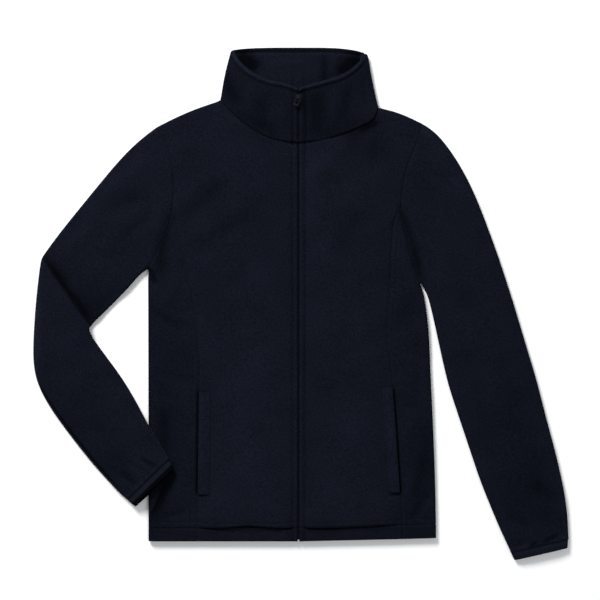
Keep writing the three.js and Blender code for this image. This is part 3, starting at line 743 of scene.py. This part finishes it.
SHAPES = {
    "front": shape_body,
    "welt": shape_body,
    "sleeve": shape_sleeve,
    "cuff": shape_sleeve,
    "collar": shape_collar,
}
for name, obj in cloth.items():
    points = read_points(obj)
    for line, reach in seams_of(name):
        close_seam(points, line, reach)
    kind = kind_and_side(name)[0]
    if kind in SHAPES:
        SHAPES[kind](points, name)
    write_points(obj, points)
    print(f"{name}: up to {points[:, 2].max():.1f} mm high")

# %% [markdown]
# ## Painted shade and highlights
# Shade and highlights are painted into the fleece's colour through a point attribute called nap, together
# with a slow random unevenness. These tables hold that change of tone, in rows like those of the folds. Shade
# is painted dark in the troughs, creases, gaps and inside corners, and highlights light on the rims, the
# welts and the lower front.

# %% Painted shade and highlights
# Rows of painted shade (below zero) and painted highlights (above zero) for each piece.
painted_shading_rows = {
    "front_centre_right": table(
        FOLD,
        (-180, 118, -112, 184, 13, 13, -0.22, 0), (-150, 84, -62, 146, 15, 15, -0.17, 0),
        (-70, -50, -78, -340, 62, 62, 0.24, 0), (-92, 262, -30, 232, 10, 12, -0.12, 0),
        (-185, 190, -150, 236, 12, 12, -0.08, 0), (-60, 70, -40, -60, 26, 26, 0.06, 0),
    ),
    "front_centre_left": table(
        FOLD,
        (24, 226, 14, 118, 12, 12, 0.2, 0), (34, 216, 62, 198, 11, 11, 0.14, 0),
        (30, 110, 30, -60, 24, 24, 0.08, 0), (66, 250, 122, 275, 8, 18, -0.42, 0),
        (120, 246, 116, 190, 15, 15, -0.12, 0), (70, 236, 140, 220, 16, 16, -0.22, 0),
        (92, 252, 117, 267, 4, 4, -0.6, 0), (70, -140, 76, -340, 50, 50, 0.14, 0),
        (100, 132, 60, 66, 16, 16, -0.1, 3),
    ),
    "front_side_right": table(
        FOLD,
        (-190, 20, -190, -345, 42, 42, -0.13, 0), (-206, -158, -198, -254, 15, 11, -0.3, 0),
        (-198, -258, -221, -332, 13, 5, -0.55, -3), (-195, 124, -212, 40, 11, 6, -0.5, 0),
        (-225, 47, -213, 26, 5, 6, -0.5, 0), (-224.5, 30, -223, -355, 3, 3, -0.25, 0),
        (-222, -14, -178, -44, 7, 9, -0.12, 0),
    ),
    "front_side_left": table(
        FOLD,
        (176, 20, 178, -345, 34, 34, -0.12, 0), (194, -176, 172, -336, 15, 15, -0.22, 0),
        (152, 138, 184, 24, 6, 7, -0.5, -3), (176, 4, 148, -50, 9, 11, -0.14, 0),
    ),
    "sleeve_right": table(
        FOLD,
        (-384, 67, -306, -43, 15, 3, -0.28, 0), (-384, 67, -306, -43, 6.5, 2.5, -0.5, 0),
        (-334, 12, -284, -32, 17, 17, -0.2, 0), (-372, 84, -296, 4, 15, 15, -0.1, 0),
        (-391, 44, -393, -112, 6, 3, 0.4, 0), (-330, -150, -268, -262, 30, 26, -0.1, 0),
        (-234, 166, -302, 148, 12, 12, -0.13, 0), (-238, 92, -300, 62, 15, 15, -0.12, 0),
        (-222, 120, -262, 84, 8, 8, -0.15, 0), (-264, -254, -238, -278, 6, 6, -0.25, 0),
        (-206, 236, -330, 118, 14, 9, 0.1, 6), (-232, -237, -212, -250, 3, 4, -0.3, 0),
    ),
    "sleeve_left": table(
        FOLD,
        (152, 138, 184, 24, 7, 6, -0.5, -3), (296, -90, 346, -320, 46, 46, -0.12, 0),
        (346, -246, 368, -346, 26, 26, -0.16, 0), (352, -276, 386, -299, 9, 9, -0.2, 0),
        (315, -324, 345, -338, 7, 7, -0.2, 0), (367, -366, 388, -353, 3, 4, -0.5, 0),
        (346, -370, 358, -364, 4, 4, -0.45, 0), (172, 206, 200, 150, 14, 14, -0.1, 0),
        (168, 263, 200, 247, 6, 5, 0.3, 0),
        (226, 62, 262, -24, 13, 13, -0.1, 0), (188, 262, 258, 150, 9, 9, 0.1, 4),
    ),
    "collar": table(
        FOLD,
        (-107, 338, -90, 292, 9, 12, -0.32, 2), (-62, 304, -44, 254, 10, 12, -0.22, 0),
        (31, 306, 29, 246, 13, 15, -0.32, 0), (77, 318, 70, 268, 6, 7, -0.22, 0),
        (-100, 286, -28, 244, 8, 9, -0.22, 0), (34, 245, 98, 268, 9, 8, -0.2, 0),
        (-78, 330, -66, 292, 8, 8, 0.1, 0), (52, 316, 52, 270, 8, 8, 0.12, 0),
    ),
}
# Painted shade inside the collar: dark in its two corners and along a fold, a little lighter between them.
inner_painted_shading = table(
    FOLD,
    (40, 366, 40, 320, 5, 6, -0.5, 0), (-91, 369, -63, 344, 13, 9, -0.95, 0),
    (61, 337, 93, 366, 13, 9, -0.95, 0), (-50, 356, 10, 352, 8, 8, 0.12, -3),
    (52, 362, 52, 330, 4, 4, 0.12, 0),
)
# A whole piece painted darker or lighter: the collar darker, the welts and cuffs lighter.
PIECE_TONE = {"collar": -0.14, "welt": 0.16, "cuff": 0.05}  # the tone of a whole piece
DARKEST = 0.3
LIGHTEST = 1.7


def collar_shading(x, y, z):
    """Painted highlights on the rims, and painted shade at their stitches, along the front edges, in the
    folds and in the corners inside. The back rim is darker just below its edge.
    """
    front = collar_outside(z)
    outer = folds(painted_shading_rows["collar"], x, y) + PIECE_TONE["collar"]
    for line in rim.values():
        off = np.abs(nearest(line, x, y)[0])
        outer += 0.6 * soft_line(off, 2.2, 2.6) - 0.3 * soft_line(off, RIM_ROW, 1.5)
    off = np.abs(nearest(BACK_RIM, x, y)[0])
    inner = folds(inner_painted_shading, x, y) - 0.4 * soft_line(off, 4.5, 2.8) + 0.25 * soft_line(off, 9, 1.6)
    return front * outer + (1 - front) * inner - 0.4 * soft_line(np.abs(x), FRONT_ROW, 1.3)


def front_shading(kind, side, x, y):
    """Painted shade at the pockets' ends and mouths, at the stitches of the front edges, in the slit, and a
    little on the hem band below it.
    """
    off = from_princess(side, x, y)
    low, high = pocket[side]["low"], pocket[side]["high"]
    ends = soft_line(y, low - 1, 1.5) + soft_line(y, high + 1, 1.5)
    inside = smooth(low - 2, low + 4, y) * (1 - smooth(high - 4, high + 2, y))
    tone = -0.6 * across_welt(off) * ends - 0.4 * soft_line(np.abs(x), FRONT_ROW, 1.3)
    if kind == "front":
        tone -= 0.7 * inside * soft_line(off, 1.4, 1.9)
    above = y - HEM_Y - hem_rise(x)
    level, depth, _ = slit_at(x)
    return tone - 0.14 * depth * soft_line(above, level - 0.6, 1.5) - 0.1 * (1 - smooth(17, 20, above))


def sleeve_shading(name, x, y):
    """Painted shade at the cuff's seam with a painted highlight beyond it. Along the forearm's edge there is
    a painted highlight on the under layer with painted shade just inside it. On the right cuff there is a
    highlight on the band and painted shadow beyond it, where the lower layer shows.
    """
    side = kind_and_side(name)[1]
    away = np.abs(nearest(cuff_line[side], x, y)[0])
    tone = 0.3 * soft_line(away, 4, 2.2) - 0.35 * soft_line(away, 0, 1.4)
    if name == "sleeve_right":
        off, counts = from_under_edge(x, y)
        tone += counts * (0.7 * soft_line(off, 1.5, 2) - 0.8 * soft_line(off, 5.4, 2))
    if name == "cuff_right":
        tone += 0.3 * soft_line(away, 6, 1.6) - 0.8 * smooth(7.4, 8.8, away)
    return tone


def painted_shading_of(name, x, y, z):
    """How much lighter or darker than plain a piece is painted: its painted shade and highlights, and a slow
    random unevenness.
    """
    kind, side = kind_and_side(name)
    if kind == "collar":
        return collar_shading(x, y, z)
    tone = folds(painted_shading_rows.get(name, []), x, y) + PIECE_TONE.get(kind, 0) + 0.07 * ripple(x, y, 57)
    if kind in ("front", "welt"):
        tone += front_shading(kind, side, x, y)
    if kind in ("cuff", "sleeve"):
        tone += sleeve_shading(name, x, y)
    return tone


for name, obj in cloth.items():
    # The painted shade and highlights are stored as a point attribute called nap.
    tone = np.clip(1 + painted_shading_of(name, *read_points(obj).T), DARKEST, LIGHTEST)
    obj.data.attributes.new("nap", "FLOAT", "POINT").data.foreach_set("value", tone.astype(np.float32))
    print(f"{name}: nap from {tone.min():.2f} to {tone.max():.2f}")

# %% [markdown]
# ## Finishes
# The fleece is a fine knit with a short brushed nap. It is nearly black navy, and its fibres catch light at
# the edges of rolls and folds. The nap is a fine bump, and the colour wanders a little with it.
# Its colour and sheen are also scaled by the painted shade and highlights held in the nap attribute.

# %% Materials
TUFT_SIZE = 3  # a tuft is that many times as wide as the finest grain
WANDER_SCALE = 14.0  # repeats for each metre in which the colour changes slowly over the cloth
SLOW_SHARE = 0.2  # how much of the colour's change is slow, and the rest follows the tufts


def set_input(tree, socket, value):
    """Sets an input of a node, or links it to another node's output."""
    if isinstance(value, bpy.types.NodeSocket):
        tree.links.new(value, socket)
    else:
        socket.default_value = value


def set_inputs(tree, target, **values):
    """Sets several inputs of a node by their names."""
    for name, value in values.items():
        set_input(tree, target.inputs[name.replace("_", " ")], value)


def node(tree, kind, **values):
    """A shader node with some of its inputs set."""
    made = tree.nodes.new(kind)
    set_inputs(tree, made, **values)
    return made


def calculate(tree, operation, *values):
    """The result of a math node."""
    made = tree.nodes.new("ShaderNodeMath")
    made.operation = operation
    for socket, value in zip(made.inputs, values):
        set_input(tree, socket, value)
    return made.outputs[0]


def new_material(name):
    """A material, with its tree, its shader and the place on the object."""
    material = bpy.data.materials.new(name)
    material.use_nodes = True
    tree = material.node_tree
    place = tree.nodes.new("ShaderNodeTexCoord").outputs["Object"]
    return material, tree, tree.nodes["Principled BSDF"], place


def noise(tree, place, scale, detail, roughness=0.5):
    """A soft noise over the object."""
    values = {"Vector": place, "Scale": scale, "Detail": detail, "Roughness": roughness}
    return node(tree, "ShaderNodeTexNoise", **values).outputs["Fac"]


def bump(tree, height, strength, depth):
    """The surface with a height standing out on it by up to some millimetres."""
    values = {"Height": height, "Strength": strength, "Distance": depth * MM}
    return node(tree, "ShaderNodeBump", **values).outputs["Normal"]


def cloth_finish(name, colour, grain, depth, uneven, sheen):
    """A matt cloth: a fine bump, a colour that wanders with the nap, and fibres that catch the light. The
    painted shade and highlights of the nap attribute scale its colour and its sheen.
    """
    material, tree, shader, place = new_material(name)
    nap = noise(tree, place, grain, 3.0, 0.6)
    tufts = noise(tree, place, grain / TUFT_SIZE, 2.0)
    wander = noise(tree, place, WANDER_SCALE, 3.0, 0.55)
    slow = calculate(tree, "MULTIPLY", wander, SLOW_SHARE)
    shade = calculate(tree, "MULTIPLY_ADD", tufts, 1 - SLOW_SHARE, slow)
    ramp = node(tree, "ShaderNodeValToRGB", Fac=shade)
    for stop, position, share in zip(ramp.color_ramp.elements, (0.3, 0.7), (1 - uneven, 1 + uneven)):
        stop.position = position
        stop.color = [c * share for c in colour] + [1]
    # The nap attribute holds painted shade and highlights; it scales the colour and the sheen.
    painted_shading = node(tree, "ShaderNodeAttribute")
    painted_shading.attribute_name = "nap"
    toned = node(tree, "ShaderNodeVectorMath")
    toned.operation = "SCALE"
    set_inputs(tree, toned, Vector=ramp.outputs["Color"], Scale=painted_shading.outputs["Fac"])
    set_inputs(
        tree, shader, Base_Color=toned.outputs[0], Roughness=0.95, Specular_IOR_Level=0.01,
        Sheen_Weight=calculate(tree, "MULTIPLY", painted_shading.outputs["Fac"], sheen), Sheen_Roughness=0.3,
        Sheen_Tint=(0.62, 0.72, 1, 1), Normal=bump(tree, calculate(tree, "ADD", nap, tufts), 0.6, depth),
    )
    return material


def hard_finish(name, colour, grain, roughness):
    """A plain finish with a faint grain."""
    material, tree, shader, place = new_material(name)
    set_inputs(
        tree, shader, Base_Color=(*colour, 1), Roughness=roughness, Specular_IOR_Level=0.05,
        Normal=bump(tree, noise(tree, place, grain, 2.0), 0.15, 0.05),
    )
    return material


# The grain is in repeats for each metre, and the depth of the nap in millimetres.
CLOTH_FINISHES = table(
    ["name", "colour", "grain", "depth", "uneven", "sheen"],
    ("fleece", (0.0047, 0.0058, 0.0102), 1300, 0.5, 0.4, 0.08),
    ("binding", (0.0048, 0.0058, 0.0098), 2200, 0.15, 0.08, 0.03),
    ("zip_tape", (0.0040, 0.0048, 0.008), 2600, 0.1, 0.06, 0.01),
)
HARD_FINISHES = table(
    ["name", "colour", "grain", "roughness"],
    # The coil is a darker navy than the cloth; part of its darkness is painted shade for the slit between the
    # front edges.
    ("zip_coil", (0.0018, 0.0022, 0.0035), 900, 0.7),
    ("zip_metal", (0.0075, 0.0086, 0.0134), 1500, 0.4),
    ("thread", (0.0055, 0.0066, 0.011), 3000, 0.95),
)
finishes = {row["name"]: cloth_finish(**row) for row in CLOTH_FINISHES}
finishes.update({row["name"]: hard_finish(**row) for row in HARD_FINISHES})


def dress(obj, finish, slot, body, *stands_for):
    """Gives a piece its finish, ties it to its body and hides the CAD nodes that it replaces. The slot is not
    used.
    """
    obj.data.materials.clear()
    obj.data.materials.append(finishes[finish])
    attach(obj, body)
    if stands_for:
        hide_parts(*stands_for)


for name, (node_name, _) in CLOTH_PIECES.items():
    finish = {"cuff": "binding", "tape": "zip_tape"}.get(kind_and_side(name)[0], "fleece")
    dress(cloth[name], finish, finish, "jacket", node_name)
print("finishes:", ", ".join(finishes))

# %% [markdown]
# ## Stitches
# One stitch is a short, slightly flattened bead of thread. It is copied along each row, three millimetres
# apart, set down on the finished cloth and turned to it. Rows run in pairs beside the main seams.

# %% Stitches
STITCH = {"pitch": 3.0, "length": 2.2, "width": 0.55, "height": 0.4}
STANDS_OUT = 0.05  # the middle of a stitch is that far above the cloth
UPRIGHT = 0.3  # how far up the cloth has to face, from 0 to 1, for a stitch to be set


def ground():
    """All the finished cloth as one surface, to set things down on."""
    points, faces, start = [], [], 0
    for obj in cloth.values():
        own = read_points(obj)
        points.extend(map(tuple, own))
        faces.extend([tuple(v + start for v in face.vertices) for face in obj.data.polygons])
        start += len(own)
    return BVHTree.FromPolygons(points, faces)


surface = ground()


def take_mesh(obj):
    """The points and faces of an upright model, laid down along x. The model itself is deleted."""
    x, y, z = np.array([v.co for v in obj.data.vertices]).T
    faces = [tuple(face.vertices) for face in obj.data.polygons]
    bpy.data.objects.remove(obj)
    return np.column_stack([z, y, -x]), faces


def one_stitch():
    """A stitch: a small six-sided bead along x."""
    bpy.ops.mesh.primitive_uv_sphere_add(segments=6, ring_count=4, radius=0.5)
    points, faces = take_mesh(bpy.context.object)
    return points * [STITCH["length"], STITCH["width"], STITCH["height"]], faces


bead_points, bead_faces = one_stitch()


def copies(name, points, faces, frames):
    """One mesh of many copies. Each frame gives a copy's middle and its three directions, in millimetres."""
    made = np.concatenate([np.array(middle) + points @ np.array(ways) for middle, ways in frames])
    all_faces = [[v + k * len(points) for v in face] for k in range(len(frames)) for face in faces]
    mesh = bpy.data.meshes.new(name)
    mesh.from_pydata((made * MM).tolist(), [], all_faces)
    mesh.shade_smooth()
    return link(name, mesh)


def sew(name, lines, underneath=False):
    """Sets a row of stitches down along each line."""
    frames = []
    for line in lines:
        row = smooth_line(line, STITCH["pitch"])
        for a, b in zip(row, row[1:]):
            x, y = (a + b) / 2
            high, down = (-20, 1) if underneath else (60, -1)
            hit, up, _, _ = surface.ray_cast(Vector((x, y, high)), Vector((0, 0, down)))
            if hit is None or up.z * -down < UPRIGHT:
                continue
            along = Vector((*(b - a), 0))
            along = (along - up * along.dot(up)).normalized()
            frames.append((hit + STANDS_OUT * up, [along, up.cross(along), up]))
    obj = copies(name, bead_points, bead_faces, frames)
    dress(obj, "thread", "fleece", "jacket")
    print(f"{name}: {len(frames)} stitches")


def part_of(line, start, end):
    """The part of a line between two fractions of its length."""
    return line[round(start * (len(line) - 1)):round(end * (len(line) - 1)) + 1]


def on_body(line, name):
    """The part of a line that lies on the body's side of an armhole."""
    off = nearest(armhole[name], *line.T)[0] * OUTWARD[name]
    return line[off < -1.5]


ROW_NAMES = ["princess", "armholes", "neck", "collar_rim", "front_edges", "hem", "welts", "cuffs"]
rows = {name: [] for name in ROW_NAMES}
for side, out in OUTWARD.items():
    seam = princess[side]
    rows["princess"] += [on_body(beside(seam, out * away), side) for away in PRINCESS_ROWS]
    rows["princess"].append(on_body(beside(part_of(seam, 0.46, 1), -out * PRINCESS_INNER), side))
    rows["armholes"] += [beside(part_of(armhole[side], 0.03, 0.97), -out * away) for away in ARMHOLE_ROWS]
    rows["neck"].append(beside(part_of(neck[side], 0.07, 0.97), out * NECK_ROW))
    rows["collar_rim"].append(beside(part_of(rim[side], 0.06, 0.97), out * RIM_ROW))
    edge = out * FRONT_ROW
    rows["front_edges"] += [[(edge, -355), (edge, 0), (edge, 232)], [(edge, 243), (edge, 306)]]
    ends = (-221, -11) if side == "right" else (11, 202)
    rows["hem"] += [hem_line(*ends, above) for above in HEM_ROWS]
    mouth = seam[(seam[:, 1] > pocket[side]["low"] + 3) & (seam[:, 1] < pocket[side]["high"] - 3)]
    rows["welts"].append(beside(mouth, -out * WELT_ROW))
    rows["welts"] += [[mouth[end] - (out * 3, 0), mouth[end] - (out * WELT_ROW, 0)] for end in (0, -1)]
    rows["cuffs"].append(beside(cuff_line[side], -out * CUFF_ROW))
rows["collar_rim"].append(beside(part_of(BACK_RIM, 0.05, 0.95), BACK_RIM_ROW))
for name, lines in rows.items():
    sew(f"stitches_{name}", lines)
sew("stitches_hem_back", [hem_line(-216, 198, above) for above in HEM_ROWS], underneath=True)

# %% [markdown]
# ## Zip
# The zip is a nylon coil: a row of small loops on each tape, hooked into the other up to the slider. One loop
# is modelled and copied up both sides, half a step apart. Above the slider the two rows lie open.

# %% Zip teeth
TOOTH = {"pitch": 1.5, "length": 2.0, "radius": 0.42}
SLIDER_Y = 300
COIL_END = SLIDER_Y + 3  # the CAD coil ends a little above this
OPEN_CLIMB = 0.151  # above it the rows rise that much for each millimetre
HOOKED = 0.15  # from the zip's middle to the middle of a loop, where the rows are closed
OPENED = 0.75  # and how much further where they are open


def one_tooth():
    """A short rounded bar along x, from the tape to just past the middle of the zip."""
    bpy.ops.mesh.primitive_cylinder_add(vertices=8, radius=TOOTH["radius"], depth=TOOTH["length"])
    bar = bpy.context.object
    bpy.ops.object.mode_set(mode="EDIT")
    bpy.ops.mesh.select_all(action="DESELECT")
    bpy.ops.mesh.select_mode(type="FACE")
    bpy.ops.object.mode_set(mode="OBJECT")
    for face in bar.data.polygons:
        face.select = abs(face.normal.z) > 0.9
    bpy.ops.object.mode_set(mode="EDIT")
    bpy.ops.mesh.inset(thickness=0.2, depth=0.16)
    bpy.ops.object.mode_set(mode="OBJECT")
    return take_mesh(bar)


def zip_frames():
    """The place and the directions of each loop: closed up to the slider, open above it."""
    coil = BVHTree.FromPolygons(
        [v.co / MM for v in nodes["zip_coil"].data.vertices],
        [tuple(face.vertices) for face in nodes["zip_coil"].data.polygons],
    )
    frames = []
    for k, y in enumerate(np.arange(HEM_Y + 3, SLIDER_Y + 14, TOOTH["pitch"] / 2)):
        out = -1 if k % 2 else 1
        hit = coil.ray_cast(Vector((0, min(y, COIL_END), 60)), Vector((0, 0, -1)))[0]
        lift = hit.z + OPEN_CLIMB * max(y - COIL_END, 0) - TOOTH["radius"]
        middle = out * (HOOKED + OPENED * smooth(SLIDER_Y - 2, SLIDER_Y + 6, y))
        frames.append(((middle, y, lift), np.eye(3)))
    return frames


teeth = copies("zip_teeth", *one_tooth(), zip_frames())
dress(teeth, "zip_coil", "zip_coil", "jacket", "zip_coil")


# %% Slider and pull
def softened(node_name, name, radius):
    """A merged copy of a hard CAD piece with its edges rounded."""
    bm = bmesh.new()
    bm.from_mesh(nodes[node_name].data)
    bmesh.ops.remove_doubles(bm, verts=bm.verts, dist=0.005 * MM)
    bmesh.ops.dissolve_limit(bm, angle_limit=math.radians(1), verts=bm.verts, edges=bm.edges)
    mesh = bpy.data.meshes.new(name)
    bm.to_mesh(mesh)
    bm.free()
    obj = link(name, mesh)
    bevel = obj.modifiers.new("edges", "BEVEL")
    bevel.width = radius * MM
    bevel.segments = 3
    bevel.limit_method = "ANGLE"
    bevel.angle_limit = math.radians(35)
    bpy.ops.object.select_all(action="DESELECT")
    bpy.context.view_layer.objects.active = obj
    obj.select_set(True)
    bpy.ops.object.modifier_apply(modifier="edges")
    bpy.ops.object.shade_smooth_by_angle(angle=math.radians(40))
    return obj


slider = softened("zip_slider", "slider", 0.28)
dress(slider, "zip_metal", "zip_metal", "jacket", "zip_slider")
pull = softened("zip_pull", "pull_tab", 0.3)
dress(pull, "zip_metal", "zip_metal", "pull", "zip_pull")
print(f"slider and pull: {len(slider.data.polygons)} and {len(pull.data.polygons)} faces")

# %% [markdown]

# %% [markdown]
# ## Floor, light and camera
# The jacket lies on a white table under large soft lights, seen from straight above.

# %% Camera, floor and light
FLOOR_SIZE = 8
FLOOR_Z = -0.3 * MM  # just under the stitches of the back
CAMERA_X = 2.25 * MM  # the zip is a little left of the picture's middle
CAMERA_HEIGHT = 2.5


def make_stage():
    """A white matt table top."""
    bpy.ops.mesh.primitive_plane_add(size=FLOOR_SIZE, location=(0, 0, FLOOR_Z))
    floor = bpy.context.object
    floor.name = "floor"
    material = bpy.data.materials.new("floor_white")
    material.use_nodes = True
    shader = material.node_tree.nodes["Principled BSDF"]
    shader.inputs["Base Color"].default_value = (0.92, 0.92, 0.92, 1)
    shader.inputs["Roughness"].default_value = 0.9
    floor.data.materials.append(material)


def make_camera():
    """A long lens straight above the jacket."""
    data = bpy.data.cameras.new("camera")
    data.lens = 100
    data.sensor_width = 36
    camera = link("camera", data)
    camera.location = (CAMERA_X, 0, CAMERA_HEIGHT)
    bpy.context.scene.camera = camera


def light(name, place, size, power):
    """A round soft light that shines on the jacket."""
    data = bpy.data.lights.new(name, "AREA")
    data.shape = "DISK"
    data.size = size
    data.energy = power
    obj = link(name, data)
    obj.location = place
    obj.rotation_euler = (-Vector(place)).to_track_quat("-Z", "Y").to_euler()


make_stage()
make_camera()
light("key", (-1.5, 2.6, 2.0), 1.5, 200)
light("fill", (1.8, -1.6, 3.0), 2.4, 36)
world = bpy.data.worlds.new("studio")
world.use_nodes = True
around = world.node_tree.nodes["Background"]
around.inputs["Color"].default_value = (0.95, 0.97, 1, 1)
around.inputs["Strength"].default_value = 0.35
bpy.context.scene.world = world
bpy.context.scene.view_settings.view_transform = "Standard"
print("camera at", tuple(round(v, 5) for v in bpy.context.scene.camera.location))
